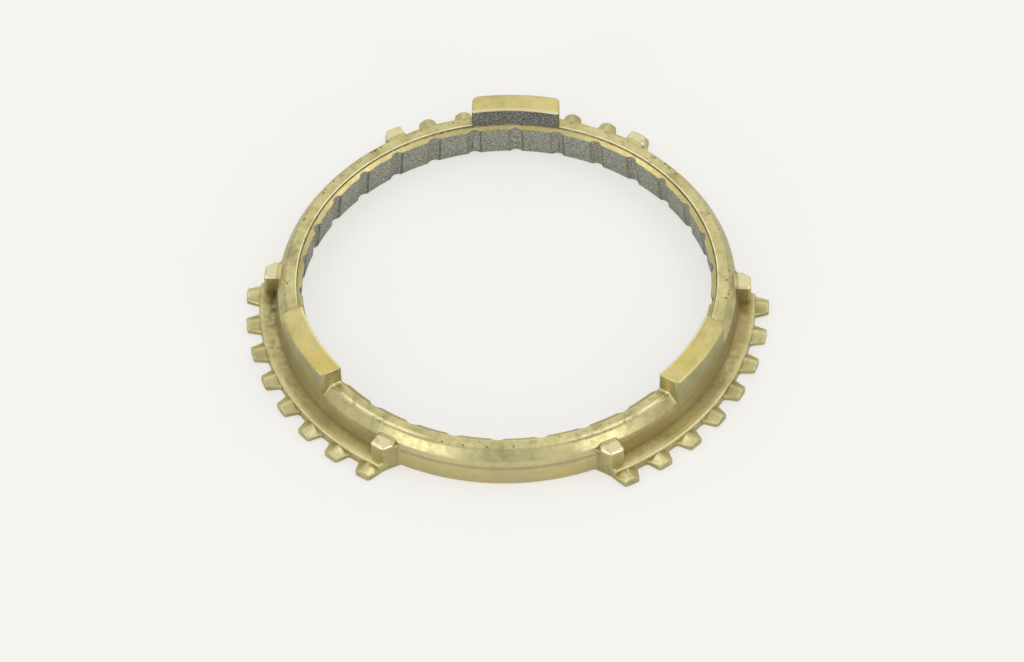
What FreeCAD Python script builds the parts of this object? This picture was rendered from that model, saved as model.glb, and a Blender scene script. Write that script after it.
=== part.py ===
import FreeCAD, Part
import math
import os

# A synchronizer ring: a brass blocking ring with a grooved friction cone, three lugs and three toothed
# sectors. Its axis is Z. The large end of the cone lies in the plane Z = 0 and one lug stands at +Y.
# Lengths are in millimetres and angles in degrees.

# Friction cone in the bore, with the edge turned above it
CONE_SMALL_RADIUS = 48.6
CONE_LENGTH = 8.8
CONE_HALF_ANGLE = 7.75
BORE_CHAMFER_RUN = 1.2
BORE_CHAMFER_RISE = 0.75
RIM_STEP_RUN = 0.2
RIM_STEP_RISE = 0.45

# Grooves that wipe the oil off the cone
GROOVE_COUNT = 30
GROOVE_DEPTH = 0.85
GROOVE_CUTTER_RADIUS = 1.9

# Flat land on top and the conical shoulder outside it
LAND_WIDTH = 2.65
SHOULDER_RUN = 1.75
SHOULDER_DROP = 2.65

# Flange that carries the teeth, in one sector under each lug
SECTOR_COUNT = 3
FLANGE_THICKNESS = 2.7
FLANGE_WIDTH = 4.9
FLANGE_EDGE_CHAMFER = 0.5
FLANGE_CREASE_CHAMFER = 0.5

# Teeth with a roof that leads the sleeve in
TOOTH_POSITIONS = 42
TEETH_PER_SECTOR = 8
TOOTH_HEIGHT = 3.2
TOOTH_TIP_WIDTH = 3.7
TOOTH_FLANK_ANGLE = 18.0
TOOTH_CORNER_RADIUS = 0.7
TOOTH_ROOT_RADIUS = 0.6
TOOTH_FLANK_HEIGHT = 1.2
ROOF_RIDGE_DROP = 0.3
ROOF_ANGLE = 28.0

# Raised blocks over the end teeth of each sector
BLOCK_TOP_STEP = 0.15
BLOCK_LEDGE = 1.2
BLOCK_INSET = 0.2
BLOCK_HEEL = 1.1
BLOCK_FACE_ANGLE = 31.0
BLOCK_FILLET_RADIUS = 1.5
BLOCK_CORNER_RADIUS = 0.8
BLOCK_EDGE_CHAMFER = 0.35

# Low band round the foot of the wall between the sectors
BAND_STEP = 0.45
BAND_HEIGHT = 4.7

# Lugs that index the ring in the hub
LUG_WIDTH = 21.4
LUG_RISE = 5.1
LUG_OVERHANG = 0.45
LUG_OUTER_RADIUS = 1.5
LUG_INNER_RADIUS = 0.6
LUG_TOP_CHAMFER = 0.2

# How far a piece reaches into the one that carries it, and a cutter past the face that it cuts
OVERLAP = 1.0

# Largest difference at which two measured lengths count as the same
TOLERANCE = 0.001

# Sizes that follow from the driving dimensions
RING_HEIGHT = CONE_LENGTH + BORE_CHAMFER_RISE + RIM_STEP_RISE
RIM_RADIUS = CONE_SMALL_RADIUS + BORE_CHAMFER_RUN
LAND_RADIUS = RIM_RADIUS + RIM_STEP_RUN
SHOULDER_RADIUS = LAND_RADIUS + LAND_WIDTH
WALL_RADIUS = SHOULDER_RADIUS + SHOULDER_RUN
WALL_TOP = RING_HEIGHT - SHOULDER_DROP
ROOT_RADIUS = WALL_RADIUS + FLANGE_WIDTH
TIP_RADIUS = ROOT_RADIUS + TOOTH_HEIGHT
TOOTH_PITCH = 360.0 / TOOTH_POSITIONS
SECTOR_PITCH = 360.0 / SECTOR_COUNT
SECTOR_HALF = (TEETH_PER_SECTOR - 1) * TOOTH_PITCH / 2
UP = FreeCAD.Vector(0, 0, 1)
AXIS = FreeCAD.Vector(0, 0, 0)


def cone_radius(z):
    """Radius of the friction cone at height z."""
    return CONE_SMALL_RADIUS + (CONE_LENGTH - z) * math.tan(math.radians(CONE_HALF_ANGLE))


def plan(x, y):
    """A point of a plan outline."""
    return FreeCAD.Vector(x, y, 0)


def on_circle(radius, x):
    """The point of a circle round the axis that lies x to the right of +Y."""
    return plan(x, math.sqrt(radius ** 2 - x ** 2))


def at_radius(point, radius):
    """The point moved along its own radius."""
    return FreeCAD.Vector(point).normalize() * radius


def arc(start, end, centre):
    """Arc from start to end round centre, the short way, as three points."""
    middle = (start + end) * 0.5 - centre
    return (start, centre + middle.normalize() * (start - centre).Length, end)


def mirrored(path):
    """The path mirrored about the YZ plane and walked the same way round."""
    flipped = [[FreeCAD.Vector(-p.x, p.y, p.z) for p in edge] for edge in path]
    return [tuple(reversed(edge)) for edge in reversed(flipped)]


def turned(path, angle):
    """The path turned about the axis."""
    rotation = FreeCAD.Rotation(UP, angle)
    return [tuple(rotation.multVec(p) for p in edge) for edge in path]


def wire(path):
    """A wire of the path's edges: two points make a line, three an arc."""
    edges = [Part.Arc(*edge).toShape() if len(edge) == 3 else Part.makeLine(*edge) for edge in path]
    return Part.Wire(edges)


def prism(path, bottom, top):
    """The closed plan path raised from bottom to top."""
    face = Part.Face(wire(path))
    face.translate(UP * bottom)
    return face.extrude(UP * (top - bottom))


def revolved(corners, start=0.0, sweep=360.0):
    """A closed profile of (radius, z) corners turned about the axis, from the angle start past +Y."""
    points = [FreeCAD.Vector(0, r, z) for r, z in corners]
    face = Part.Face(Part.makePolygon(points + points[:1]))
    face.rotate(AXIS, UP, start)
    return face.revolve(AXIS, UP, sweep)


def copies(shape, count):
    """The shape repeated evenly round the axis."""
    return [shape.rotated(AXIS, UP, i * 360.0 / count) for i in range(count)]


class Flank:
    """A straight side of a plan outline that leans from the radius at +Y, with its material to the left."""

    def __init__(self, point, angle):
        lean = math.radians(angle)
        self.normal = plan(math.cos(lean), math.sin(lean))
        self.along = plan(-math.sin(lean), math.cos(lean))
        self.reach = self.normal.dot(point)

    def at(self, radius, offset=0.0):
        """Where the side, moved out by offset, crosses a circle round the axis."""
        reach = self.reach + offset
        return self.normal * reach + self.along * math.sqrt(radius ** 2 - reach ** 2)

    def foot(self, radius, fillet):
        """Arc from the side into a circle that it stands on."""
        centre = self.at(radius + fillet, fillet)
        return arc(centre - self.normal * fillet, at_radius(centre, radius), centre)

    def corner(self, radius, fillet):
        """Arc from a circle that bounds the side outside into the side."""
        centre = self.at(radius - fillet, -fillet)
        return arc(at_radius(centre, radius), centre + self.normal * fillet, centre)


TOOTH_FLANK = Flank(plan(TOOTH_TIP_WIDTH / 2, TIP_RADIUS), TOOTH_FLANK_ANGLE)
BLOCK_HEEL_POINT = TOOTH_FLANK.at(ROOT_RADIUS - BLOCK_HEEL)
BLOCK_FLANK = Flank(BLOCK_HEEL_POINT, BLOCK_FACE_ANGLE)


def ring_body():
    """Turned body with a plain bore that leaves room for the cone, its top faces and its wall."""
    slope = BORE_CHAMFER_RISE / BORE_CHAMFER_RUN
    bore = CONE_SMALL_RADIUS - OVERLAP
    return revolved([
        (bore, 0),
        (WALL_RADIUS, 0),
        (WALL_RADIUS, WALL_TOP),
        (SHOULDER_RADIUS, RING_HEIGHT),
        (LAND_RADIUS, RING_HEIGHT),
        (RIM_RADIUS, RING_HEIGHT - RIM_STEP_RISE),
        (bore, CONE_LENGTH - slope * OVERLAP),
    ])


def band():
    """Low band at the foot of the wall in one gap, whose ends lie inside the blocks."""
    gap = SECTOR_PITCH - 2 * SECTOR_HALF
    profile = [
        (WALL_RADIUS - OVERLAP, 0),
        (WALL_RADIUS + BAND_STEP, 0),
        (WALL_RADIUS + BAND_STEP, BAND_HEIGHT),
        (WALL_RADIUS - OVERLAP, BAND_HEIGHT),
    ]
    inset = math.degrees(OVERLAP / WALL_RADIUS)
    return revolved(profile, SECTOR_HALF + inset, gap - 2 * inset)


def sector_end():
    """Gap side of a sector: past the end tooth's tip, along its flank and the block into the wall."""
    corner = TOOTH_FLANK.corner(TIP_RADIUS, TOOTH_CORNER_RADIUS)
    foot = BLOCK_FLANK.foot(WALL_RADIUS, BLOCK_FILLET_RADIUS)
    return [
        corner,
        (corner[-1], BLOCK_HEEL_POINT),
        (BLOCK_HEEL_POINT, foot[0]),
        foot,
        (foot[-1], at_radius(foot[-1], WALL_RADIUS - OVERLAP)),
    ]


def sector_outline():
    """Plan outline of a toothed sector, walked clockwise over its teeth."""
    corner = TOOTH_FLANK.corner(TIP_RADIUS, TOOTH_CORNER_RADIUS)
    foot = TOOTH_FLANK.foot(ROOT_RADIUS, TOOTH_ROOT_RADIUS)
    side = [corner, (corner[-1], foot[0]), foot]
    tip = [arc(mirrored([corner])[0][-1], corner[0], AXIS)]
    path = []
    for i in range(TEETH_PER_SECTOR):
        left = mirrored(side if i else sector_end())
        right = side if i < TEETH_PER_SECTOR - 1 else sector_end()
        tooth = turned(left + tip + right, SECTOR_HALF - i * TOOTH_PITCH)
        if path:
            path.append(arc(path[-1][-1], tooth[0][0], AXIS))
        path += tooth
    start, end = path[0][0], path[-1][-1]
    path.append((end, plan(0, WALL_RADIUS - OVERLAP), start))
    return path


def tooth_roof():
    """Bar under the roof of the tooth at +Y, level beside the roof where the root fillets are."""
    start = ROOT_RADIUS - OVERLAP
    side = start * math.tan(math.radians(TOOTH_PITCH / 2))
    ridge = FLANGE_THICKNESS - ROOF_RIDGE_DROP
    eave = (ridge - TOOTH_FLANK_HEIGHT) / math.tan(math.radians(ROOF_ANGLE))
    half = [
        (0, ridge),
        (eave, TOOTH_FLANK_HEIGHT),
        (side, TOOTH_FLANK_HEIGHT),
        (side, 0),
    ]
    outline = [(-x, z) for x, z in reversed(half[1:])] + half
    points = [FreeCAD.Vector(x, start, z) for x, z in outline]
    face = Part.Face(Part.makePolygon(points + points[:1]))
    return face.extrude(FreeCAD.Vector(0, TIP_RADIUS + OVERLAP - start, 0))


def toothed_sector():
    """Flange sector with its teeth: the plan outline, trimmed by the flange's section and the roofs."""
    flange = Part.makeCylinder(ROOT_RADIUS, FLANGE_THICKNESS)
    envelope = flange.makeChamfer(FLANGE_EDGE_CHAMFER, level_edges(flange, FLANGE_THICKNESS))
    roof = tooth_roof()
    roofs = [roof.rotated(AXIS, UP, SECTOR_HALF - i * TOOTH_PITCH) for i in range(TEETH_PER_SECTOR)]
    envelope = envelope.fuse(roofs)
    return prism(sector_outline(), 0, FLANGE_THICKNESS).common(envelope)


def block_outline():
    """Plan outline of the block over a sector's last tooth, which lies at +Y with the gap to its right."""
    outer = ROOT_RADIUS - BLOCK_LEDGE
    inner = WALL_RADIUS - OVERLAP
    foot = BLOCK_FLANK.foot(WALL_RADIUS, BLOCK_FILLET_RADIUS)
    heel = BLOCK_FLANK.at(outer)
    start = on_circle(inner, -BLOCK_INSET)
    shoulder = on_circle(outer, -BLOCK_INSET)
    root = at_radius(foot[-1], inner)
    return [
        (start, shoulder),
        arc(shoulder, heel, AXIS),
        (heel, foot[0]),
        foot,
        (foot[-1], root),
        arc(root, start, AXIS),
    ]


def upright_edges(shape, height, inner, outer):
    """The vertical edges of that height whose distance from the axis lies between inner and outer."""
    found = []
    for edge in shape.Edges:
        place = edge.CenterOfMass
        tall = abs(edge.BoundBox.ZLength - height) < TOLERANCE
        if tall and inner < math.hypot(place.x, place.y) < outer:
            found.append(edge)
    return found


def level_edges(shape, z):
    """The edges that lie level at height z."""
    found = []
    for edge in shape.Edges:
        box = edge.BoundBox
        if abs(box.ZMin - z) < TOLERANCE and abs(box.ZMax - z) < TOLERANCE:
            found.append(edge)
    return found


def end_block():
    """Block over the last tooth, with its outer corners and the edges of its top rounded."""
    top = WALL_TOP - BLOCK_TOP_STEP
    block = prism(block_outline(), 0, top)
    corners = upright_edges(block, top, ROOT_RADIUS - BLOCK_LEDGE - TOLERANCE, TIP_RADIUS)
    block = block.makeFillet(BLOCK_CORNER_RADIUS, corners)
    rim = [e for e in level_edges(block, top) if e.BoundBox.YMax > WALL_RADIUS]
    return block.makeChamfer(BLOCK_EDGE_CHAMFER, rim)


def lug():
    """Lug at +Y with parallel sides, its corners and its top rounded."""
    inner = LAND_RADIUS - LUG_OVERHANG
    base = WALL_TOP - OVERLAP
    top = RING_HEIGHT + LUG_RISE
    half = LUG_WIDTH / 2
    left, right = on_circle(WALL_RADIUS, -half), on_circle(WALL_RADIUS, half)
    near, far = on_circle(inner, half), on_circle(inner, -half)
    outline = [arc(left, right, AXIS), (right, near), arc(near, far, AXIS), (far, left)]
    block = prism(outline, base, top)
    block = block.makeFillet(LUG_OUTER_RADIUS, upright_edges(block, top - base, SHOULDER_RADIUS, TIP_RADIUS))
    block = block.makeFillet(LUG_INNER_RADIUS, upright_edges(block, top - base, 0, LAND_RADIUS))
    return block.makeChamfer(LUG_TOP_CHAMFER, level_edges(block, top))


def bore():
    """Solid that fills the grooved cone: the cone and, for each groove, a round cutter along its side."""
    lean = math.radians(CONE_HALF_ANGLE)
    cone = Part.makeCone(cone_radius(-OVERLAP), cone_radius(RING_HEIGHT), RING_HEIGHT + OVERLAP)
    cone.translate(UP * -OVERLAP)
    along = FreeCAD.Vector(0, -math.sin(lean), math.cos(lean))
    outward = FreeCAD.Vector(0, math.cos(lean), math.sin(lean))
    foot = FreeCAD.Vector(0, cone_radius(-OVERLAP), -OVERLAP)
    start = foot + outward * (GROOVE_DEPTH - GROOVE_CUTTER_RADIUS)
    cutter = Part.makeCylinder(GROOVE_CUTTER_RADIUS, (RING_HEIGHT + OVERLAP) / math.cos(lean), start, along)
    cutter.rotate(start, along, 180)
    return cone.fuse(copies(cutter, GROOVE_COUNT))


def sector():
    """Toothed flange sector at +Y with its two blocks and its lug."""
    right = end_block().rotated(AXIS, UP, -SECTOR_HALF)
    left = right.mirror(AXIS, FreeCAD.Vector(1, 0, 0))
    return toothed_sector().fuse([left, right, lug()])


def crease_edges(shape):
    """The arcs where the wall stands on the flange."""
    arcs = [e for e in level_edges(shape, FLANGE_THICKNESS) if isinstance(e.Curve, Part.Circle)]
    return [e for e in arcs if abs(e.Curve.Radius - WALL_RADIUS) < TOLERANCE]


def synchronizer_ring():
    """The whole ring as one solid."""
    ring = ring_body().fuse(copies(band(), SECTOR_COUNT) + copies(sector(), SECTOR_COUNT)).removeSplitter()
    ring = ring.makeChamfer(FLANGE_CREASE_CHAMFER, crease_edges(ring))
    return ring.cut(bore()).Solids[0]


os.makedirs("parts", exist_ok=True)
synchronizer_ring().exportStep("parts/synchronizer_ring.step")
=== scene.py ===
import math

import bmesh
import bpy
from mathutils import Matrix, Vector


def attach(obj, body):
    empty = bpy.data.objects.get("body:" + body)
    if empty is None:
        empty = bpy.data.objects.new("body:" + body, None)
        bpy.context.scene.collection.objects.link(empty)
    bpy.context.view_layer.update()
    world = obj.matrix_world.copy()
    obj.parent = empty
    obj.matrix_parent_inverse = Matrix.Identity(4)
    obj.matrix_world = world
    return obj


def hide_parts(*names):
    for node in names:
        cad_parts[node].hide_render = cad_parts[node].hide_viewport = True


# A synchronizer ring: one brass forging with a turned, grooved friction cone, three lugs and three
# toothed sectors. Its axis is Z, the cone's large end lies on the floor and one lug stands at +Y.
# The shapes are worked out in millimetres and end up in metres.

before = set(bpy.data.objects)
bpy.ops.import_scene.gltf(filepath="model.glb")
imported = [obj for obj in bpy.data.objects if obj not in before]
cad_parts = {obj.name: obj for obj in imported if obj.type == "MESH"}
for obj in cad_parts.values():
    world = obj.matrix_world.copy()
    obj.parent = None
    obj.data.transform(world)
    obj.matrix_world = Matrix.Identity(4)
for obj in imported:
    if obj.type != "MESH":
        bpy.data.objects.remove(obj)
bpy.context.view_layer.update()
scene = bpy.context.scene
MM = 0.001

# The body
# A forged brass ring that is turned inside, on top and outside. The grooves that wipe the oil off the
# cone are milled along its side and scallop the chamfer above it, with lips rounded by tumbling.

CONE_SMALL = 48.6
CONE_LENGTH = 8.8
CONE_ANGLE = math.radians(7.75)
GROOVES = 30
GROOVE_PITCH = 2 * math.pi / GROOVES
GROOVE_DEPTH = 0.85
GROOVE_RADIUS = 1.9
GROOVE_LIP = 0.14
TOP = 10.0
CHAMFER_TOP = Vector((49.8, 9.55))
RIM = 50.0
SHOULDER = 52.8
WALL = 54.6
WALL_TOP = 7.35
BASE_INNER = 53.0
RIM_ROUND, SHOULDER_ROUND, WALL_ROUND, BASE_ROUND = 0.2, 0.9, 1.1, 0.3
FLATS = ((66.9, 73.2), (101.8, 113.4))
FLAT_DEPTH = 0.16
FLAT_INNER = 50.4


def cone_radius(z):
    """Radius of the friction cone at that height."""
    return CONE_SMALL + (CONE_LENGTH - z) * math.tan(CONE_ANGLE)


def rounded(points, radii, steps=4, closed=True):
    """The corners of a flat outline rounded, each with its own radius."""
    out = []
    count = len(points)
    for i, (p, radius) in enumerate(zip(points, radii)):
        p = Vector(p)
        if not radius or (not closed and i in (0, count - 1)):
            out.append(p)
            continue
        a = (Vector(points[i - 1]) - p).normalized()
        b = (Vector(points[(i + 1) % count]) - p).normalized()
        half = a.angle(b) / 2
        middle = p + (a + b).normalized() * radius / math.sin(half)
        start = p + a * radius / math.tan(half)
        end = p + b * radius / math.tan(half)
        u, v = start - middle, end - middle
        sweep = u.angle(v)
        for k in range(steps + 1):
            t = k / steps
            out.append(middle + (u * math.sin((1 - t) * sweep) + v * math.sin(t * sweep)) / math.sin(sweep))
    return out


def divided(points, longest):
    """The open line with no stretch longer than that."""
    out = [points[0]]
    for a, b in zip(points, points[1:]):
        pieces = max(1, math.ceil((b - a).length / longest))
        out += [a.lerp(b, k / pieces) for k in range(1, pieces + 1)]
    return out


def smooth_max(a, b, soft):
    """The larger of two heights, with the crossing rounded."""
    mix = max(soft - abs(a - b), 0.0) / soft
    return max(a, b) + mix * mix * soft / 4


def mesh_object(name, bm):
    """The built mesh as an object of the scene, with its faces outward."""
    bmesh.ops.recalc_face_normals(bm, faces=bm.faces)
    data = bpy.data.meshes.new(name)
    bm.to_mesh(data)
    bm.free()
    obj = bpy.data.objects.new(name, data)
    scene.collection.objects.link(obj)
    return obj


def body_columns():
    """Angles round the ring, close together where a groove and its lips are."""
    lips, steps = math.radians(2.4), 11
    fine = [lips * k / steps for k in range(-steps, steps + 1)]
    coarse = [math.radians(v) for v in (3.3, 4.3, 5.3, 6.0, 6.7, 7.7, 8.7)]
    return [GROOVE_PITCH * (i + 0.5) + a for i in range(GROOVES) for a in fine + coarse]


def body_section():
    """(radius, z) of the bore's line from the foot up to the rim, then of the rest of the section."""
    broken = Vector((0.2, 0.25))  # The large end's edge is broken by that width and height
    small_end = Vector((CONE_SMALL, CONE_LENGTH))
    bore = divided([Vector((cone_radius(broken.y), broken.y)), small_end], longest=0.9)
    bore = [Vector((cone_radius(0) + broken.x, 0))] + bore
    chamfer = divided([small_end, CHAMFER_TOP], longest=0.11)
    rest = rounded(
        [CHAMFER_TOP, (RIM, TOP), (SHOULDER, TOP), (WALL, WALL_TOP), (WALL, 0), (BASE_INNER, 0)],
        [0, RIM_ROUND, SHOULDER_ROUND, WALL_ROUND, BASE_ROUND, 0],
        closed=False,
    )
    # The land is divided on both sides of the flats' inner edge, and once more halfway
    start = next(i for i, p in enumerate(rest) if p.x > RIM + 1)
    rest[start:start] = [Vector((r, TOP)) for r in (FLAT_INNER - 0.05, FLAT_INNER + 0.05, 51.2)]
    return bore + chamfer[1:], rest[1:]


def in_flat(angle):
    """Whether the land is cut down there: a shallow flat lies on each side of the lug at +Y."""
    place = math.degrees(angle) % 360
    return any(start < place < end for start, end in FLATS)


def ring_body():
    """The section swept round the axis, with the grooves cut into the bore and the flats into the land."""
    inner, outer = body_section()
    bm = bmesh.new()
    loops = []
    for angle in body_columns():
        off = (angle % GROOVE_PITCH) - GROOVE_PITCH / 2
        ring = []
        for p in inner:
            across = p.x * off
            radius = p.x
            if abs(across) < GROOVE_RADIUS - 0.01:
                bottom = math.sqrt(GROOVE_RADIUS ** 2 - across ** 2)
                groove = cone_radius(p.y) + (GROOVE_DEPTH - GROOVE_RADIUS + bottom) / math.cos(CONE_ANGLE)
                radius = smooth_max(p.x, groove, GROOVE_LIP)
            ring.append((radius, p.y))
        level = TOP - FLAT_DEPTH if in_flat(angle) else TOP
        ring += [(p.x, min(p.y, level) if p.x > FLAT_INNER else p.y) for p in outer]
        c, s = math.cos(angle), math.sin(angle)
        loops.append([bm.verts.new((r * c * MM, r * s * MM, z * MM)) for r, z in ring])
    for a, b in zip(loops, loops[1:] + loops[:1]):
        for i in range(len(a)):
            j = (i + 1) % len(a)
            bm.faces.new((a[i], b[i], b[j], a[j]))
    return mesh_object("ring_body", bm)


# One sector
# Part of the same forging, built round +Y: the flange, eight teeth with a two-sided roof, the two
# blocks over the end teeth, and the lug. Its edges are rounded by the die and by tumbling. Every piece
# reaches some way into the body, so that they fuse.

FLANGE_TOP = 2.7
ROOT = 59.3
TIP = 62.5
TEETH = 8
PITCH = math.radians(360 / 42)
SECTORS = 3
THIRD = 2 * math.pi / SECTORS
SECTOR_HALF = (TEETH - 1) * PITCH / 2
TIP_HALF = 1.85
FLANK_ANGLE = math.radians(18)
ROOF_ANGLE = math.radians(28)
RIDGE = 2.4
EAVE_Z = 1.2
TIP_ROUND, ROOT_FILLET, RIDGE_ROUND, EAVE_ROUND = 0.7, 0.6, 0.7, 0.38
BLOCK_OUTER = 58.1
BLOCK_LEVEL = 7.2
BLOCK_TOP = 8.2
BLOCK_FACE_ANGLE = math.radians(31)
BLOCK_CORNER, BLOCK_FOOT, BLOCK_BRIM, PAD_BRIM = 0.8, 1.5, 0.5, 0.95
LUG_HALF = 10.7
LUG_BOTTOM = 1.5
LUG_TOP = 15.1
LUG_INNER = 49.55
LUG_OUTER = WALL + 0.3
LUG_CORNER, LUG_INNER_CORNER, LUG_EDGE = 1.5, 0.6, 0.4
SUNK = 53.2
CLOSE = 0.03


class Flank:
    """A straight side that leans from the radius at +Y, with the material to its left."""

    def __init__(self, point, angle):
        self.normal = Vector((math.cos(angle), math.sin(angle)))
        self.along = Vector((-math.sin(angle), math.cos(angle)))
        self.reach = self.normal.dot(point)

    def at(self, radius, out=0.0):
        """The side's point at that radius, with the side moved out by that much."""
        reach = self.reach + out
        return self.normal * reach + self.along * math.sqrt(radius ** 2 - reach ** 2)

    def foot(self, radius, fillet, steps=5):
        """Arc from the side into a circle that it stands on."""
        centre = self.at(radius + fillet, fillet)
        return arc(centre - self.normal * fillet, centre.normalized() * radius, centre, steps)

    def corner(self, radius, fillet, steps=5):
        """Arc from the circle outside into the side."""
        centre = self.at(radius - fillet, -fillet)
        return arc(centre.normalized() * radius, centre + self.normal * fillet, centre, steps)


def arc(start, end, centre, steps):
    """Points from start to end round the centre, the shorter way."""
    u, v = start - centre, end - centre
    turn = math.atan2(u.cross(v), u.dot(v))
    return [centre + Matrix.Rotation(turn * k / steps, 2) @ u for k in range(steps + 1)]


# An end tooth's flank meets the block's face at the heel, a little inside the teeth's roots
TOOTH_FLANK = Flank(Vector((TIP_HALF, TIP)), FLANK_ANGLE)
HEEL = TOOTH_FLANK.at(ROOT - 1.1)
BLOCK_FLANK = Flank(HEEL, BLOCK_FACE_ANGLE)


def flip(points):
    """The line mirrored left to right and reversed, so that it runs the same way round."""
    return [Vector((-p.x, p.y)) for p in reversed(points)]


def prism(outline, bottom, top):
    """A closed solid over a plan outline."""
    bm = bmesh.new()
    low = [bm.verts.new((p.x * MM, p.y * MM, bottom * MM)) for p in outline]
    high = [bm.verts.new((p.x * MM, p.y * MM, top * MM)) for p in outline]
    bm.faces.new(low)
    bm.faces.new(high)
    for i in range(len(low)):
        j = (i + 1) % len(low)
        bm.faces.new((low[i], low[j], high[j], high[i]))
    return bm


def soften(bm, chosen, width, segments=3):
    """Rounds the chosen edges by that width."""
    edges = [e for e in bm.edges if len(e.link_faces) == 2 and chosen(e)]
    bmesh.ops.bevel(bm, geom=edges, offset=width * MM, segments=segments, profile=0.5,
                    affect="EDGES", clamp_overlap=True)


def roof(x):
    """Height of a tooth's roof beside its ridge."""
    return max(RIDGE - abs(x) * math.tan(ROOF_ANGLE), EAVE_Z)


def tooth(gap_side):
    """The tooth at +Y. On the gap side of an end tooth the flank runs straight into the block."""
    inner, flank_end = 57.2, 57.9  # Both radii lie inside the flange
    corner = TOOTH_FLANK.corner(TIP, TIP_ROUND)
    foot = TOOTH_FLANK.foot(ROOT, ROOT_FILLET)
    plain = corner + foot + [foot[-1].normalized() * inner]
    straight = corner + [TOOTH_FLANK.at(flank_end), Vector((1.5, inner))]
    right = straight if gap_side else plain
    bm = prism(flip(plain) + arc(flip(plain)[-1], right[0], Vector((0, 0)), 4)[1:-1] + right, 0, 1)
    eave = (RIDGE - EAVE_Z) / math.tan(ROOF_ANGLE)
    for x in (-eave, 0, eave):
        geom = bm.verts[:] + bm.edges[:] + bm.faces[:]
        bmesh.ops.bisect_plane(bm, geom=geom, dist=1e-8, plane_co=(x * MM, 0, 0), plane_no=(1, 0, 0))
    bmesh.ops.recalc_face_normals(bm, faces=bm.faces)
    for v in bm.verts:
        if v.co.z > 0.5 * MM:
            v.co.z = roof(v.co.x / MM) * MM

    def ridge(e):
        """Whether it is an edge along the ridge."""
        a, b = (v.co for v in e.verts)
        return all(abs(p.x) < 1e-7 and p.z > MM for p in (a, b)) and abs(a.y - b.y) > MM

    def rim(e):
        """Whether it is an edge between the roof and the flanks or the tip, outside the flange."""
        level = [f for f in e.link_faces if f.normal.z > 0.5]
        upright = [f for f in e.link_faces if abs(f.normal.z) < 0.3]
        return level and upright and min(v.co.y for v in e.verts) > 59 * MM

    bm.normal_update()
    soften(bm, ridge, RIDGE_ROUND, 5)
    bm.normal_update()
    soften(bm, rim, EAVE_ROUND, 3)
    return mesh_object("tooth", bm)


def flange():
    """The flange's section, with the drafted foot of the wall, swept between the end teeth's outer flanks."""
    draft = (55.25, 6.4)  # Radius where the draft starts, and height where it ends
    divisions = (57.3, 57.8, 58.2)
    corners = [(SUNK, 0)] + [(r, 0) for r in divisions] + [(ROOT, 0), (ROOT, FLANGE_TOP)]
    corners += [(r, FLANGE_TOP) for r in divisions[::-1]] + [(draft[0], FLANGE_TOP)]
    corners += [(WALL - 0.02, draft[1]), (SUNK, draft[1])]
    low_edge, high_edge = 0.25, 0.5
    section = rounded(corners, [0] * 4 + [low_edge, high_edge] + [0] * 6, 5)
    steps = 47
    middle = [k / steps - 1 for k in range(2, 2 * steps - 1)]
    # The top slopes down to the end teeth, by that much over that share of the sweep
    slope, share = 1.25, 0.018
    ends = [1 - share * k / 4 for k in range(5)]
    bm = bmesh.new()
    columns = []
    for t in [-e for e in ends] + middle + ends[::-1]:
        loop = []
        fall = slope * max(0.0, 1 - (1 - abs(t)) / share) ** 2
        for p in section:
            side = TOOTH_FLANK if p.x > HEEL.length else BLOCK_FLANK
            edge = side.at(p.x, -CLOSE)
            outside = p.x > divisions[0] - 0.05
            angle = t * (SECTOR_HALF + (math.atan2(edge.x, edge.y) if outside else 0.02))
            z = p.y - fall if outside and p.y > 1.8 else p.y
            loop.append(bm.verts.new((p.x * math.sin(angle) * MM, p.x * math.cos(angle) * MM, z * MM)))
        columns.append(loop)
    return swept("flange", bm, columns)


def swept(name, bm, columns):
    """The solid whose skin joins those columns of vertices, closed at both ends."""
    for a, b in zip(columns, columns[1:]):
        for i in range(len(a)):
            j = (i + 1) % len(a)
            bm.faces.new((a[i], a[j], b[j], b[i]))
    bm.faces.new(columns[0])
    bm.faces.new(columns[-1][::-1])
    return mesh_object(name, bm)


def block_side(x, radius):
    """The point of a block's left side at about that radius."""
    return Vector((x, math.sqrt(radius ** 2 - 0.2)))


def end_block():
    """Block over the end tooth at +Y, with the gap to its right."""
    foot = BLOCK_FLANK.foot(WALL, BLOCK_FOOT, 6)
    left, outer = -0.42, BLOCK_OUTER - CLOSE
    heel = BLOCK_FLANK.at(outer, -CLOSE)
    line = [block_side(left, SUNK), block_side(left, outer), heel, foot[0]]
    corners = rounded(line, [0, BLOCK_CORNER, BLOCK_CORNER, 0], 5, closed=False)
    root = foot[-1].normalized() * SUNK
    return block(corners + foot[1:] + [root], BLOCK_LEVEL, BLOCK_BRIM, "end_block")


def pad():
    """The rounded pad that stands up on the block and runs into the shoulder."""
    left, waist_radius, waist_corner = -0.45, 55.9, 1.0
    heel = BLOCK_FLANK.at(BLOCK_OUTER)
    waist = BLOCK_FLANK.at(waist_radius)
    root = Vector((waist.x - 0.4, math.sqrt(SUNK ** 2 - waist.x ** 2)))
    line = [block_side(left, SUNK), block_side(left, BLOCK_OUTER), heel, waist, root]
    corners = rounded(line, [0, BLOCK_CORNER, BLOCK_CORNER, waist_corner, 0], 5, closed=False)
    return block(corners, BLOCK_TOP, PAD_BRIM, "pad")


def block(outline, top, rounding, name):
    """A prism with a rounded brim."""
    bm = prism(outline, 0, top)
    bmesh.ops.recalc_face_normals(bm, faces=bm.faces)

    def brim(e):
        """Whether it is an edge of the top that isn't buried in the wall."""
        outermost = max(v.co.xy.length for v in e.verts)
        return min(v.co.z for v in e.verts) > (top - 0.01) * MM and outermost > 54.2 * MM

    soften(bm, brim, rounding, 5)
    return mesh_object(name, bm)


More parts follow.
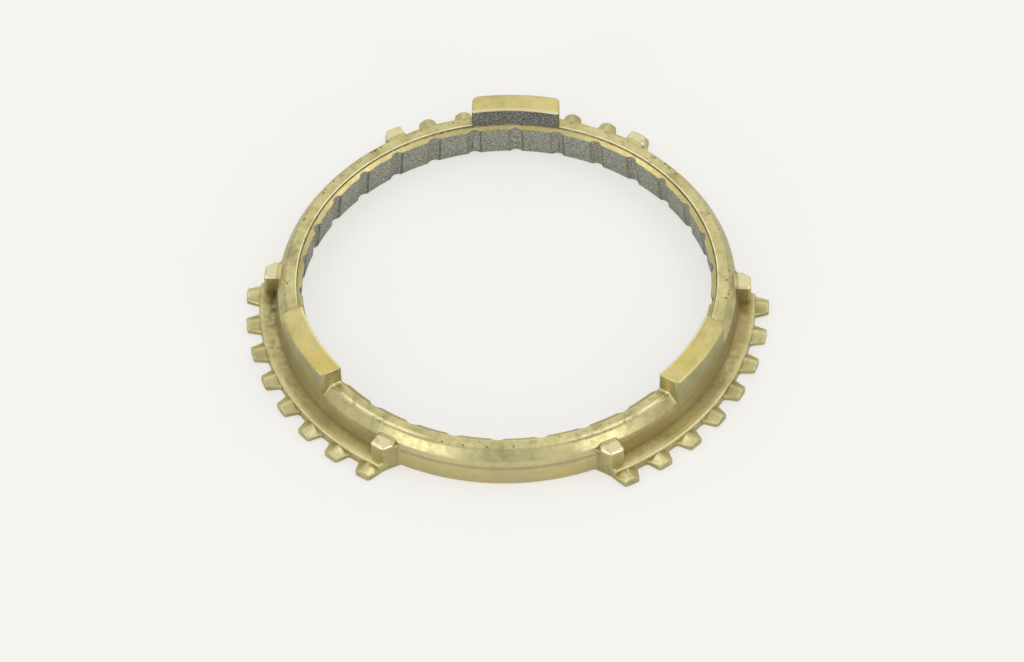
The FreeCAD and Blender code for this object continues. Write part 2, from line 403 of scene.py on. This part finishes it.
def lug():
    """Lug at +Y with parallel sides. Its back carries the wall up, and its inner face overhangs the rim."""
    left = Vector((-LUG_HALF, math.sqrt(LUG_OUTER ** 2 - LUG_HALF ** 2)))
    right = Vector((LUG_HALF, left.y))
    near = Vector((LUG_HALF, math.sqrt(LUG_INNER ** 2 - LUG_HALF ** 2)))
    far = Vector((-LUG_HALF, near.y))
    front = arc(left, right, Vector((0, 0)), 24)
    back = arc(near, far, Vector((0, 0)), 24)
    outline = lug_outline(front, back)
    bm = prism(outline, LUG_BOTTOM, LUG_TOP)
    bmesh.ops.recalc_face_normals(bm, faces=bm.faces)
    soften(bm, lambda e: all(v.co.z > (LUG_TOP - 0.1) * MM for v in e.verts), LUG_EDGE, 3)
    return mesh_object("lug", bm)


def lug_foot():
    """Fillet where the right side of the lug at +Y stands on the land and the shoulder."""
    centre = Flank(Vector((LUG_HALF, 54)), 0).at(LUG_OUTER - LUG_CORNER, -LUG_CORNER)
    full = 0.65
    line = [(Vector((LUG_HALF, y)), Vector((1, 0)), full) for y in (48.95, 49.8, 50.7, 51.6)]
    # It fades out round the lug's corner
    for turn, size in ((0, 0.6), (0.2, 0.45), (0.4, 0.25), (0.6, 0.1)):
        way = Vector((math.cos(turn), math.sin(turn)))
        line.append((centre + way * LUG_CORNER, way, size))

    def ground(p):
        """Height of the land there, or of the shoulder beyond it."""
        slope = (TOP - WALL_TOP) / (WALL - SHOULDER)
        return min(TOP, TOP - (p.length - SHOULDER) * slope)

    inside, below = -0.3, -0.5  # It reaches that far into the lug and into the land
    bm = bmesh.new()
    columns = []
    for p, way, size in line:
        loop = [(inside, below), (size, below)]
        for k in range(5):
            turn = k / 4 * math.pi / 2
            loop.append((size * (1 - math.sin(turn)), size * (1 - math.cos(turn))))
        loop.append((inside, size))
        column = []
        for out, up in loop:
            place = p + way * out
            column.append(bm.verts.new((place.x * MM, place.y * MM, (ground(place) + up - 0.02) * MM)))
        columns.append(column)
    return swept("lug_foot", bm, columns)


def lug_outline(front, back):
    """The two arcs joined by straight sides, with the four corners rounded."""
    def trimmed(line, cut):
        """The line without what lies that near to either end."""
        return [p for p in line if min((p - line[0]).length, (p - line[-1]).length) > cut]

    outer, inner = trimmed(front, cut=2.3), trimmed(back, cut=1.1)
    corners = []
    for a, p, b, radius in (
        (outer[-1], front[-1], back[0], LUG_CORNER),
        (front[-1], back[0], inner[0], LUG_INNER_CORNER),
        (inner[-1], back[-1], front[0], LUG_INNER_CORNER),
        (back[-1], front[0], outer[0], LUG_CORNER),
    ):
        corners.append(rounded([a, p, b], [0, radius, 0], 6, closed=False)[1:-1])
    return outer + corners[0] + corners[1] + inner + corners[2] + corners[3]


def band():
    """Low step at the foot of the wall in the gap at +Y."""
    half = THIRD / 2 - SECTOR_HALF - 0.02
    inner, top, steps = 53.4, 5.5, 40
    corners = [(inner, 0.0), (54.87, 0.0), (54.8, 4.6), (WALL - 0.1, top), (inner, top)]
    section = rounded(corners, [0, 0.3, 0.5, 0, 0], 5)
    bm = bmesh.new()
    columns = []
    for k in range(steps + 1):
        angle = half * (2 * k / steps - 1)
        s, c = math.sin(angle), math.cos(angle)
        columns.append([bm.verts.new((p.x * s * MM, p.x * c * MM, p.y * MM)) for p in section])
    return swept("band", bm, columns)


def mirrored(source, name):
    """The same solid mirrored about the YZ plane."""
    data = source.data.copy()
    data.transform(Matrix.Diagonal((-1, 1, 1, 1)))
    data.flip_normals()
    obj = bpy.data.objects.new(name, data)
    scene.collection.objects.link(obj)
    return obj


# The assembly
# The sectors' pieces are turned round the axis and fused with the body, as they are in the forging.
# A sector is fused first and then repeated, with the bands between the sectors.

def add(tree, kind, values=(), **settings):
    """A node with its settings. Values go by the socket's name or number, and a socket there is linked."""
    node = tree.nodes.new(kind)
    for key, value in settings.items():
        setattr(node, key, value)
    for key, value in dict(values).items():
        if isinstance(value, bpy.types.NodeSocket):
            tree.links.new(value, node.inputs[key])
        else:
            node.inputs[key].default_value = value
    return node


def around(tree, piece, count, pitch, offset):
    """Copies of a geometry turned round the axis: offset plus or minus half the span, one pitch apart."""
    line = add(tree, "GeometryNodeMeshLine", {"Count": count, "Offset": (0, 0, 0)})
    index = add(tree, "GeometryNodeInputIndex")
    last = add(tree, "ShaderNodeMath", {0: count, 1: 1.0}, operation="SUBTRACT")
    middle = add(tree, "ShaderNodeMath", {0: last.outputs[0], 1: 0.5}, operation="MULTIPLY")
    place = add(tree, "ShaderNodeMath", {0: index.outputs[0], 1: middle.outputs[0]}, operation="SUBTRACT")
    angle = add(tree, "ShaderNodeMath", {0: place.outputs[0], 1: pitch, 2: offset}, operation="MULTIPLY_ADD")
    turn = add(tree, "ShaderNodeCombineXYZ", {"Z": angle.outputs[0]})
    return add(tree, "GeometryNodeInstanceOnPoints",
               {"Points": line.outputs[0], "Instance": piece, "Rotation": turn.outputs[0]}).outputs[0]


def assembly(pieces, material):
    """The tree that repeats the pieces round the ring and fuses them."""
    tree = bpy.data.node_groups.new("synchronizer_ring", "GeometryNodeTree")
    tree.interface.new_socket("Body", in_out="INPUT", socket_type="NodeSocketGeometry")
    for name, kind in (("Inner teeth", "Int"), ("Tooth pitch", "Float"), ("Sectors", "Int")):
        tree.interface.new_socket(name, in_out="INPUT", socket_type="NodeSocket" + kind)
    tree.interface.new_socket("Ring", in_out="OUTPUT", socket_type="NodeSocketGeometry")
    given = add(tree, "NodeGroupInput").outputs

    def shape(name):
        """The geometry of that piece."""
        return add(tree, "GeometryNodeObjectInfo", {"Object": pieces[name]}).outputs["Geometry"]

    sector = add(tree, "GeometryNodeMeshBoolean", operation="UNION", solver="MANIFOLD")
    inner = around(tree, shape("tooth"), given["Inner teeth"], given["Tooth pitch"], 0.0)
    ends = []
    for name in ("end", "pad", "tooth"):
        for hand, side in (("right", -1), ("left", 1)):
            ends.append(around(tree, shape(f"{name}_{hand}"), 1, 0.0, side * SECTOR_HALF))
    for piece in [inner] + ends + [shape("flange"), shape("lug"), shape("foot_right"), shape("foot_left")]:
        tree.links.new(piece, sector.inputs["Mesh 2"])
    sectors = around(tree, sector.outputs[0], given["Sectors"], THIRD, 0.0)
    bands = around(tree, shape("band"), given["Sectors"], THIRD, THIRD / 2)
    fused = add(tree, "GeometryNodeMeshBoolean", operation="UNION", solver="MANIFOLD")
    for piece in (given["Body"], sectors, bands):
        tree.links.new(piece, fused.inputs["Mesh 2"])
    real = add(tree, "GeometryNodeRealizeInstances", {0: fused.outputs[0]})
    done = add(tree, "GeometryNodeSetMaterial", {"Geometry": real.outputs[0], "Material": material})
    out = add(tree, "NodeGroupOutput")
    tree.links.new(done.outputs[0], out.inputs[0])
    return tree


def fused_ring(material):
    """The pieces made, repeated and fused into one plain mesh, and then removed."""
    body = ring_body()
    pieces = {"flange": flange(), "lug": lug(), "band": band(), "tooth": tooth(False)}
    for name, made in (("tooth", tooth(True)), ("end", end_block()), ("pad", pad()), ("foot", lug_foot())):
        pieces[f"{name}_right"] = made
        pieces[f"{name}_left"] = mirrored(made, f"{name}_left")
    modifier = body.modifiers.new("assembly", "NODES")
    tree = assembly(pieces, material)
    modifier.node_group = tree
    sizes = {"Inner teeth": TEETH - 2, "Tooth pitch": PITCH, "Sectors": SECTORS}
    for item in tree.interface.items_tree:
        if item.name in sizes:
            modifier[item.identifier] = sizes[item.name]
    evaluated = body.evaluated_get(bpy.context.evaluated_depsgraph_get())
    data = bpy.data.meshes.new_from_object(evaluated)
    ring = bpy.data.objects.new("synchro_ring", data)
    scene.collection.objects.link(ring)
    for obj in [body] + list(pieces.values()):
        bpy.data.objects.remove(obj)
    return ring


# The finish
# Forging brass, turned on top and in the cone, tumbled and oiled: pale greenish yellow, duller and
# greyer on its raw sides, partly as painted shade, with brown painted shade in the corners and edges
# painted bright, partly as wear and partly as highlight. A grey friction coat with a sandy grain is sprayed
# into the cone and onto the lugs' inner faces.

def linear(code):
    """An sRGB hex colour as linear values."""
    parts = [int(code[i:i + 2], 16) / 255 for i in (1, 3, 5)]
    return tuple(v / 12.92 if v <= 0.04045 else ((v + 0.055) / 1.055) ** 2.4 for v in parts) + (1.0,)


def ring_finish():
    """The material, drawn in millimetres from the object's own place, radius, height and facing."""
    material = bpy.data.materials.new("brass_with_friction_coat")
    material.use_nodes = True
    tree = material.node_tree
    shader = tree.nodes["Principled BSDF"]

    def where(*limits, join="MULTIPLY"):
        """How much of all the limits holds. A limit is a number, a mask, or a value that goes from 0 at
        its start to 1 at its end, or from and to the two levels that follow them."""
        holds = None
        for limit in limits:
            if isinstance(limit, tuple):
                value, start, end, low, high = limit if len(limit) == 5 else limit + (0.0, 1.0)
                span = {"Value": value, "From Min": start, "From Max": end, "To Min": low, "To Max": high}
                limit = add(tree, "ShaderNodeMapRange", span, interpolation_type="SMOOTHSTEP").outputs[0]
            if holds is not None:
                limit = add(tree, "ShaderNodeMath", {0: holds, 1: limit}, operation=join).outputs[0]
            holds = limit
        return holds

    def total(base, *shares):
        """The base plus each value times its weight."""
        for value, weight in shares:
            share = {0: value, 1: weight, 2: base}
            base = add(tree, "ShaderNodeMath", share, operation="MULTIPLY_ADD").outputs[0]
        return base

    def tinted(under, code, *limits):
        """The colour under it, turned to another where the limits hold."""
        mix = {0: where(*limits), 6: under, 7: linear(code)}
        return add(tree, "ShaderNodeMix", mix, data_type="RGBA").outputs[2]

    coordinates = add(tree, "ShaderNodeTexCoord").outputs["Object"]
    place = add(tree, "ShaderNodeVectorMath", {0: coordinates, "Scale": 1 / MM}, operation="SCALE").outputs[0]
    plan = add(tree, "ShaderNodeVectorMath", {0: place, 1: (1, 1, 0)}, operation="MULTIPLY").outputs[0]
    radius = add(tree, "ShaderNodeVectorMath", {0: plan}, operation="LENGTH").outputs["Value"]
    x, y, height = add(tree, "ShaderNodeSeparateXYZ", {0: place}).outputs
    geometry = add(tree, "ShaderNodeNewGeometry").outputs
    facing = add(tree, "ShaderNodeSeparateXYZ", {0: geometry["True Normal"]}).outputs["Z"]

    def near(centre, far, close):
        """1 closer to that place than close, 0 beyond far."""
        away = add(tree, "ShaderNodeVectorMath", {0: place, 1: centre}, operation="DISTANCE").outputs["Value"]
        return where((away, far, close))

    # Angle from the middle of the nearest sector, millimetres from the nearest corner between a block
    # and the wall, and millimetres from the middle of the nearest groove
    angle = add(tree, "ShaderNodeMath", {0: y, 1: x}, operation="ARCTAN2").outputs[0]
    wall_corner = BLOCK_FLANK.at(WALL + 0.4)
    corner_angle = SECTOR_HALF + math.atan2(wall_corner.x, wall_corner.y)
    from_sector = (("ADD", 2 * math.pi - math.pi / 6), ("MODULO", THIRD), ("SUBTRACT", THIRD / 2),
                   ("ABSOLUTE", 0))
    measured = {}
    for name, sums in (
        ("spread", from_sector),
        ("from_corner", from_sector + (("SUBTRACT", corner_angle), ("MULTIPLY", WALL), ("ABSOLUTE", 0))),
        ("across", (("ADD", 2 * math.pi), ("MODULO", GROOVE_PITCH), ("SUBTRACT", GROOVE_PITCH / 2),
                    ("MULTIPLY", CONE_SMALL))),
    ):
        value = angle
        for operation, operand in sums:
            value = add(tree, "ShaderNodeMath", {0: value, 1: operand}, operation=operation).outputs[0]
        measured[name] = value
    spread, across = measured["spread"], measured["across"]
    sideways = add(tree, "ShaderNodeMath", {0: x}, operation="ABSOLUTE").outputs[0]

    # Noise: the width of its features in mm, its detail and roughness, and the slice of it that is used
    patterns = {}
    for name, width, detail, rough, part in (
        ("large", 6.25, 5, 0.62, 0),
        ("middle", 1.25, 4, 0.6, 3),
        ("fine", 0.25, 2, 0.6, 7),
        ("grain", 0.2778, 2, 0.8, 5),
        ("clots", 1.111, 4, 0.7, 17),
        ("patches", 4, 2, 0.5, 15),
        ("groups", 8.333, 2, 0.5, 11),
        ("smudges", 2, 3, 0.6, 21),
    ):
        look = {"Vector": place, "W": part, "Scale": 1 / width, "Detail": detail, "Roughness": rough}
        patterns[name] = add(tree, "ShaderNodeTexNoise", look, noise_dimensions="4D").outputs[0]
    large, middle, grain = patterns["large"], patterns["middle"], patterns["grain"]

    # Colours that follow a pattern: bare brass, the coat in the cone, and the thicker coat on the lugs
    shades = []
    for pattern, stops in (
        (large, ((0.33, "#A69D6C"), (0.47, "#C0B682"), (0.62, "#CFC58F"))),
        (grain, ((0.37, "#52534A"), (0.5, "#888A7D"), (0.63, "#C8C7B8"))),
        (grain, ((0.36, "#2C2D29"), (0.5, "#54544D"), (0.66, "#B5B4AA"))),
    ):
        shade = add(tree, "ShaderNodeValToRGB", {0: pattern})
        shade.color_ramp.elements.new(0.5)
        for point, (at, code) in zip(shade.color_ramp.elements, stops):
            point.position = at
            point.color = linear(code)
        shades.append(shade.outputs[0])
    metal, cone_grey, lug_grey = shades

    reach = {"Distance": 3 * MM}
    corner = add(tree, "ShaderNodeAmbientOcclusion", reach, samples=6, only_local=True).outputs["AO"]
    softened = add(tree, "ShaderNodeBevel", {"Radius": 0.4 * MM}, samples=4).outputs[0]
    normals = {0: softened, 1: geometry["Normal"]}
    bend = add(tree, "ShaderNodeVectorMath", normals, operation="DOT_PRODUCT").outputs["Value"]

    # Darker, greener blotches
    metal = tinted(metal, "#9A9468", 0.3, (middle, 0.5, 0.68))
    # Sloped and upright faces are duller and greyer than the turned flats, partly their own forged skin and
    # partly painted shade; the lugs' backs are painted darker still, as shade
    steep = where((facing, 0.93, 0.5), (height, 14.9, 14.0))
    metal = tinted(metal, "#A09F82", steep, (middle, 0.4, 0.65, 0.14, 0.44))
    lug_back_shade = where((radius, 54.2, 54.5), (height, 4.0, 5.6), (spread, 0.24, 0.2))
    metal = tinted(metal, "#8C896A", 0.5, steep, lug_back_shade)
    # Brown painted shade where faces meet, taken from occlusion and broken up by noise, and painted shade
    # along the channel between the wall and the flange
    corner_shade = where((corner, 0.75, 0.4), (large, 0.25, 0.6))
    metal = tinted(metal, "#71643C", 0.32, corner_shade)
    in_sector = (spread, corner_angle + 0.01, corner_angle - 0.01)
    channel = where(in_sector, (radius, 54.58, 54.75), (radius, 55.75, 55.5), (height, 7.2, 6.2))
    foot = where(channel, (large, 0.3, 0.5, 0.45, 0.7))
    metal = tinted(metal, "#8D8159", foot)
    # A darker, browner tone on the flange's top, less of it at -Y, and two rusty places there
    flange_top_tone = where((radius, 55.2, 55.4), (radius, 59.1, 57.6), (facing, 0.5, 0.9))
    metal = tinted(metal, "#93885F", flange_top_tone, (middle, 0.4, 0.62, 0.3, 0.6), (y, -42.0, -18.0, 0.25, 1.35))
    rust = where(near((57.0, -7.0, 2.7), 19.0, 6.0), near((31.0, -47.5, 2.7), 7.5, 3.0), join="MAXIMUM")
    metal = tinted(metal, "#B8975C", 0.38, rust, flange_top_tone, (middle, 0.2, 0.7))
    metal = tinted(metal, "#A08246", 0.35, channel, near((33.0, -44.0, 4.0), 15.0, 5.0))
    # A clotted patch lies in the channel at -X, and the flange's rim is paler at -Y
    clot = where((radius, 57.6, 56.0), (patterns["clots"], 0.4, 0.55), near((-55.8, -4.0, 2.7), 9.5, 5.5))
    metal = tinted(metal, "#5F5334", 0.75, flange_top_tone, clot)
    metal = tinted(metal, "#DCD3A0", 0.45, (radius, 57.6, 58.1), (facing, 0.5, 0.9), (y, -15.0, -40.0))
    # Painted shade in the top of the corner between a block and the wall of the gap
    block_corner_shade = where((measured["from_corner"], 1.7, 0.2), (height, 4.8, 6.8))
    metal = tinted(metal, "#6A6549", 0.4, block_corner_shade, (radius, 54.4, 54.55), (radius, 56.4, 55.4))
    # The rim's small step is painted dark as shade, below a highlight painted on its edge, most of all on the
    # half at +Y
    half_ring = (y, -22.0, 8.0, 0.2, 1.0)
    step_shade = where((radius, 49.6, 49.72), (radius, 50.03, 49.95), (height, 9.38, 9.48))
    metal = tinted(metal, "#53482A", 0.85, half_ring, step_shade)
    rim_highlight = where((radius, 49.98, 50.04), (radius, 50.36, 50.22), (height, 9.7, 9.85), (height, 10.4, 10.2))
    rim_highlight = where(rim_highlight, half_ring)
    # On the half at -Y a highlight is painted on the land's outer edge, above a brown line painted as a dark
    # reflection
    level = where((height, 10.3, 10.1), (facing, 0.4, 0.7))
    front_highlight_zone = where(level, (height, 9.3, 9.5), (y, -22.0, -30.0), (sideways, 13.0, 21.0))
    land_edge_highlight = where(front_highlight_zone, (radius, 51.65, 51.85), (radius, 52.6, 52.4), (middle, 0.25, 0.5))
    dark_reflection_line = where((radius, 52.45, 52.6), (radius, 52.95, 52.8), (large, 0.35, 0.55))
    metal = tinted(metal, "#A58D55", 0.6, front_highlight_zone, dark_reflection_line)
    # The pads' tops are painted darker as shade, and a highlight is painted on their edges
    metal = tinted(metal, "#A69D6C", 0.85, (radius, 54.6, 55.0), (height, 7.5, 7.9), (height, 9.0, 8.6))
    pad_edge_highlight = where((radius, 54.9, 55.2), (height, 7.4, 7.65), (height, 8.29, 8.15), (middle, 0.25, 0.5))
    # The wall between the sectors: painted paler as light, with a dark line of painted shade above the band,
    # and more golden below
    in_gap = (spread, corner_angle - 0.01, corner_angle + 0.01)
    gap_wall = where(in_gap, (radius, 54.3, 54.5), (facing, 0.5, 0.3))
    metal = tinted(metal, "#DCD3A6", 0.45, gap_wall)
    metal = tinted(metal, "#7D7857", 0.45, gap_wall, (height, 4.3, 5.1), (height, 6.1, 5.4))
    metal = tinted(metal, "#CDB672", 0.35, gap_wall, (height, 5.0, 3.8), (large, 0.35, 0.6))
    # Golden where it was machined last: the lugs' tops, in patches, and the chamfer
    patches = where(near((-42.3, -30.5, 15.1), 8.0, 5.0), near((43.5, -28.5, 15.1), 6.5, 2.5), join="MAXIMUM")
    patches = where(patches, (patterns["patches"], 0.3, 0.55))
    lug_tops = where(total(0.3, (patches, 0.4)), (height, 14.9, 15.0))
    chamfer = where((radius, 49.85, 49.75), (height, 8.6, 8.8), (middle, 0.35, 0.6, 0.12, 0.42))
    metal = tinted(metal, "#CDB968", where(lug_tops, chamfer, join="MAXIMUM"))
    # Convex edges are painted bright, partly as wear and partly as highlight, but not down in the channel;
    # the highlights painted on the rim, the lugs' tops, the land and the pads take the same tint
    edge = where((bend, 0.995, 0.93), (corner, 0.72, 0.9), (middle, 0.3, 0.6), total(1.0, (channel, -1.0)))
    lug_edge_highlight = where((radius, 50.2, 49.9), (height, 14.65, 14.85))
    wear_and_highlight = where(edge, rim_highlight, lug_edge_highlight, land_edge_highlight, pad_edge_highlight, join="MAXIMUM")
    metal = tinted(metal, "#F4EDC2", 0.72, wear_and_highlight)

    # Pits: dark specks a few tenths of a millimetre across, in loose groups, and dull smudges round them
    ragged = add(tree, "ShaderNodeTexNoise", {"Vector": place, "Scale": 1 / 0.4545, "Detail": 1.0}).outputs[1]
    bent = add(tree, "ShaderNodeVectorMath", {0: ragged, "Scale": 0.5}, operation="SCALE").outputs[0]
    bent = add(tree, "ShaderNodeVectorMath", {0: place, 1: bent}, operation="ADD").outputs[0]
    specks = add(tree, "ShaderNodeTexVoronoi", {"Vector": bent, "Scale": 1 / 1.1765}).outputs["Distance"]
    group = where((patterns["groups"], 0.44, 0.55), near((-2.0, -52.4, 10.0), 10.0, 6.0), join="MAXIMUM")
    land = where(level, (height, 9.55, 9.75))
    metal = tinted(metal, "#857E58", 0.45, land, (patterns["smudges"], 0.53, 0.66))
    outer_land = where(land, (radius, 51.4, 52.1))
    # Fewer pits where the highlight on the land's outer edge is painted
    pit = where((specks, 0.31, 0.17), group, total(0.08, (outer_land, 0.92)), total(1.0, (front_highlight_zone, -0.5)))
    metal = tinted(metal, "#453F29", 0.75, pit)

    # The coat ends unevenly at the chamfer, and down the sides of each groove it is painted darker as shade,
    # more on one side
    up_to = total(height, (middle, 0.4))
    in_cone = where((up_to, 9.15, 9.0), (radius, 51.6, 51.5))
    on_lug = where((up_to, 9.95, 10.1), (radius, 49.8, 49.7), (height, 14.8, 14.65))
    coat = where(in_cone, on_lug, join="MAXIMUM")
    thicker = {0: where((height, 9.2, 10.0)), 6: cone_grey, 7: lug_grey}
    grey = add(tree, "ShaderNodeMix", thicker, data_type="RGBA").outputs[2]
    left = where((across, -1.95, -1.7), (across, -1.2, -1.5))
    right = where((across, 1.95, 1.7), (across, 1.2, 1.5))
    grey = tinted(grey, "#3C3D37", 0.6, total(left, (right, 0.45)), in_cone, (middle, 0.3, 0.5))

    colour = add(tree, "ShaderNodeMix", {0: coat, 6: metal, 7: grey}, data_type="RGBA").outputs[2]
    # Less metallic under the coat and in the channel's painted shade; rougher in the painted corner shade,
    # smoother on the edges painted bright
    metallic = where(total(1.0, (coat, -0.9), (foot, -0.7)), 0.1, join="MAXIMUM")
    rough = total(0.27, (middle, 0.22), (corner_shade, 0.2), (wear_and_highlight, -0.08))
    relief = total(0.0, (patterns["fine"], 0.25), (middle, 0.6), (pit, -0.8), (where(grain, 2.4), coat))
    bump = add(tree, "ShaderNodeBump", {"Height": relief, "Strength": 1.0, "Distance": 0.06 * MM})
    tree.links.new(colour, shader.inputs["Base Color"])
    tree.links.new(metallic, shader.inputs["Metallic"])
    tree.links.new(where(rough, where(coat, 0.75), join="MAXIMUM"), shader.inputs["Roughness"])
    tree.links.new(bump.outputs[0], shader.inputs["Normal"])
    return material


# The ring
# One piece, fused and finished, with its smooth surfaces shaded as such. It stands for the CAD ring.

material = ring_finish()
ring = fused_ring(material)
for polygon in ring.data.polygons:
    polygon.use_smooth = True
ring.data.set_sharp_from_angle(angle=math.radians(32))
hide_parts("synchronizer_ring")
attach(ring, "root")

# The camera
# It stands where the photograph was taken from, a little to the right of the back lug's line. Its
# distance is in millimetres, and its other sizes are in the photograph's pixels and in radians.

FOCAL = 3810.8
DISTANCE = 912.685
ELEVATION = math.radians(49.216)
SIDE = math.radians(3.756)
ROLL = math.radians(1.589)
AXIS_PIXEL = (507.46, 303.33)
CENTRE_PIXEL = (512, 331)
WIDTH = 1024
SENSOR = 36


def place_camera():
    """The camera looks at the ring's axis and is then swung until the axis lies at its own pixel."""
    around_z = SIDE - math.pi / 2
    level = math.cos(ELEVATION)
    place = DISTANCE * Vector((level * math.cos(around_z), level * math.sin(around_z), math.sin(ELEVATION)))
    forward = -place.normalized()
    right = forward.cross(Vector((0, 0, 1))).normalized()
    up = right.cross(forward)
    axes = Matrix((right, up, forward))
    rolled = Matrix.Rotation(ROLL, 3, "Z")
    off_x, off_y = (a - b for a, b in zip(AXIS_PIXEL, CENTRE_PIXEL))
    aim = Vector((off_x / FOCAL, -off_y / FOCAL, 1)).normalized()
    swing = Vector((0, 0, 1)).rotation_difference(aim).to_matrix()
    m = swing @ rolled @ axes
    data = bpy.data.cameras.new("camera")
    data.sensor_width = SENSOR
    data.lens = FOCAL * SENSOR / WIDTH
    data.clip_end = 10
    camera = bpy.data.objects.new("camera", data)
    turn = Matrix((m[0], m[1], -m[2])).transposed()
    camera.matrix_world = Matrix.Translation(place * MM) @ turn.to_4x4()
    scene.collection.objects.link(camera)
    scene.camera = camera


place_camera()

# The floor
# A pale sheet of paper just under the ring. The camera sees it as bright as the photograph's ground,
# by its own glow, while the metal sees plain paper. It is the stage and no part of the object.

FLOOR_HALF = 3.0
FLOOR_LEVEL = -0.0002
PAPER_GLOW = 0.665
GLOW_COLOUR = "#F6F4F0"
PAPER_SEEN = "#8E8D8A"
PAPER = "#EEECE6"

floor_mesh = bpy.data.meshes.new("floor")
floor_mesh.from_pydata(
    [(x * FLOOR_HALF, y * FLOOR_HALF, FLOOR_LEVEL) for x, y in ((-1, -1), (1, -1), (1, 1), (-1, 1))],
    [],
    [(0, 1, 2, 3)],
)
floor = bpy.data.objects.new("floor", floor_mesh)
scene.collection.objects.link(floor)
paper = bpy.data.materials.new("paper")
paper.use_nodes = True
paper_tree = paper.node_tree
paper_shader = paper_tree.nodes["Principled BSDF"]
paper_shader.inputs["Roughness"].default_value = 0.9
paper_shader.inputs["Emission Color"].default_value = linear(GLOW_COLOUR)
seen = add(paper_tree, "ShaderNodeLightPath").outputs["Is Camera Ray"]
glow = add(paper_tree, "ShaderNodeMath", {0: seen, 1: PAPER_GLOW}, operation="MULTIPLY").outputs[0]
tones = {0: seen, 6: linear(PAPER), 7: linear(PAPER_SEEN)}
tone = add(paper_tree, "ShaderNodeMix", tones, data_type="RGBA").outputs[2]
paper_tree.links.new(glow, paper_shader.inputs["Emission Strength"])
paper_tree.links.new(tone, paper_shader.inputs["Base Color"])
floor.data.materials.append(paper)

# The light
# White air all round and five square softboxes, so that the metal has bright and darker sides. The
# camera sees the air a little brighter than it lights the ring.

AIR = 0.8
AIR_SEEN = 0.12

world = bpy.data.worlds.new("world")
scene.world = world
world.use_nodes = True
air = world.node_tree.nodes["Background"]
air.inputs["Color"].default_value = (1, 1, 1, 1)
air_seen = add(world.node_tree, "ShaderNodeLightPath").outputs["Is Camera Ray"]
strength = {0: air_seen, 1: AIR_SEEN, 2: AIR}
strength = add(world.node_tree, "ShaderNodeMath", strength, operation="MULTIPLY_ADD").outputs[0]
world.node_tree.links.new(strength, air.inputs["Strength"])

# Each softbox: its place and size in metres, and its power in watts
for name, place, size, power in (
    ("back", (0.0, 0.75, 0.95), 1.2, 1.6),
    ("left", (-0.75, -0.1, 0.95), 0.5, 1.35),
    ("right", (0.75, 0.05, 0.9), 0.5, 1.55),
    ("front_left", (-0.62, -0.86, 0.32), 0.35, 1.8),
    ("front_right", (0.72, -0.78, 0.32), 0.3, 1.5),
):
    light = bpy.data.lights.new(name, "AREA")
    light.size = size
    light.energy = power
    softbox = bpy.data.objects.new(name, light)
    softbox.location = place
    softbox.rotation_euler = (-Vector(place)).to_track_quat("-Z", "Y").to_euler()
    scene.collection.objects.link(softbox)

scene.view_settings.view_transform = "Standard"
